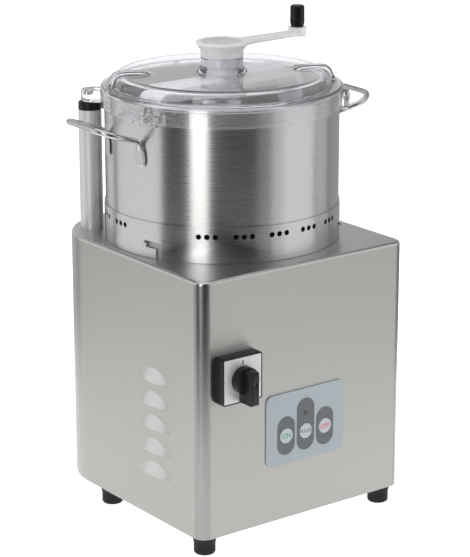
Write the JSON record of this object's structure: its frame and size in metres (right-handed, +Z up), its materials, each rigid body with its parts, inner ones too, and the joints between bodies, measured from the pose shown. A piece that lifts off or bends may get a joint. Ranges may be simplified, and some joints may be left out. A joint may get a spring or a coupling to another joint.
{
  "type": "food cutter",
  "caption": "Bench-top vertical food cutter: stainless bowl with side handles on a steel motor housing, clear lid, hand crank with wall scraper, sickle blades, rotary switch and keypad.",
  "frame": {"origin": "middle of the bounding box at floor level, below the bowl and close to the bowl axis", "axes": "+Z up along the bowl axis, the control panel faces -Y, +X to the right seen from the front"},
  "size_m": [0.3394, 0.3398, 0.515],
  "materials": {
    "stainless": "fine brushed sheet",
    "bright_steel": "satin",
    "satin_aluminium": "satin anodised",
    "cast_aluminium": "cast, matt",
    "black_rubber": "matt",
    "black_plastic": "fine grain",
    "white_plastic": "smooth moulded",
    "clear_plastic": "clear moulded plastic",
    "switch_plate": "satin plate",
    "panel_grey": "membrane",
    "field_grey": "membrane",
    "button_green": "membrane",
    "button_grey": "membrane",
    "button_red": "membrane",
    "lamp_red": "lens",
    "board": "circuit board",
    "armature": "varnished windings"
  },
  "bodies": {
    "base": {"housing": "stainless", "base_plate": "stainless", "foot_front_left": "black_rubber", "foot_front_right": "black_rubber", "foot_rear_left": "black_rubber", "foot_rear_right": "black_rubber", "foot_screws": "bright_steel", "motor_flange": "cast_aluminium", "motor_can": "cast_aluminium", "motor_endcap": "cast_aluminium", "motor_bearing": "bright_steel", "shaft_seal": "black_rubber", "flange_screws": "bright_steel", "bowl_collar": "cast_aluminium", "collar_pin_left": "bright_steel", "collar_pin_front": "bright_steel", "collar_pin_rear": "bright_steel", "post_tube": "satin_aluminium", "post_cap": "black_plastic", "post_sensor": "board", "post_nut": "bright_steel", "switch_block": "black_plastic", "switch_bezel": "switch_plate", "keypad_panel": "panel_grey", "keypad_fields": "field_grey", "keypad_board": "board", "lamp": "lamp_red", "power_board": "board", "cable_gland": "black_plastic", "gland_nut": "black_plastic"},
    "rotor": {"motor_shaft": "bright_steel", "motor_armature": "armature", "cooling_fan": "black_plastic", "blade_hub": "white_plastic", "blade_lower": "bright_steel", "blade_upper": "bright_steel", "hub_disc": "white_plastic", "hub_nut": "bright_steel"},
    "bowl": {"bowl": "stainless", "bowl_skirt": "stainless", "bowl_sleeve": "stainless", "handle_left": "bright_steel", "handle_right": "bright_steel"},
    "lid": {"lid": "clear_plastic", "lid_screw_left": "bright_steel", "lid_screw_front": "bright_steel", "lid_screw_rear": "bright_steel", "lid_magnet": "bright_steel"},
    "crank": {"crank_cup": "white_plastic", "knob_pin": "bright_steel", "scraper": "white_plastic"},
    "crank_knob": {"crank_knob": "black_plastic"},
    "switch_knob": {"switch_knob": "black_plastic", "switch_shaft": "bright_steel", "switch_screw": "bright_steel"},
    "button_on": {"button_on": "button_green"},
    "button_pulse": {"button_pulse": "button_grey"},
    "button_off": {"button_off": "button_red"}
  },
  "joints": [
    {"name": "bowl_turn", "type": "hinge", "parent": "base", "child": "bowl", "pos_m": [0, 0.00495, 0.3], "axis": [0, 0, 1], "range_deg": [-7.2, 0]},
    {"name": "lid_lift", "type": "slide", "parent": "bowl", "child": "lid", "axis": [0, 0, 1], "range_m": [0, 0.12]},
    {"name": "crank_turn", "type": "hinge", "parent": "lid", "child": "crank", "pos_m": [0, 0.00495, 0.475], "axis": [0, 0, 1], "continuous": true},
    {"name": "knob_spin", "type": "hinge", "parent": "crank", "child": "crank_knob", "pos_m": [0.10186, 0.01029, 0.5], "axis": [0, 0, 1], "continuous": true},
    {"name": "blade_spin", "type": "hinge", "parent": "base", "child": "rotor", "pos_m": [0, 0.00495, 0.3], "axis": [0, 0, 1], "continuous": true},
    {"name": "switch_turn", "type": "hinge", "parent": "base", "child": "switch_knob", "pos_m": [-0.089, -0.14905, 0.187], "axis": [0, 1, 0], "range_deg": [0, 90]},
    {"name": "on_press", "type": "slide", "parent": "base", "child": "button_on", "axis": [0, 1, 0], "range_m": [0, 0.0006], "stiffness_N_per_m": 1500},
    {"name": "pulse_press", "type": "slide", "parent": "base", "child": "button_pulse", "axis": [0, 1, 0], "range_m": [0, 0.0006], "stiffness_N_per_m": 1500},
    {"name": "off_press", "type": "slide", "parent": "base", "child": "button_off", "axis": [0, 1, 0], "range_m": [0, 0.0006], "stiffness_N_per_m": 1500}
  ]
}
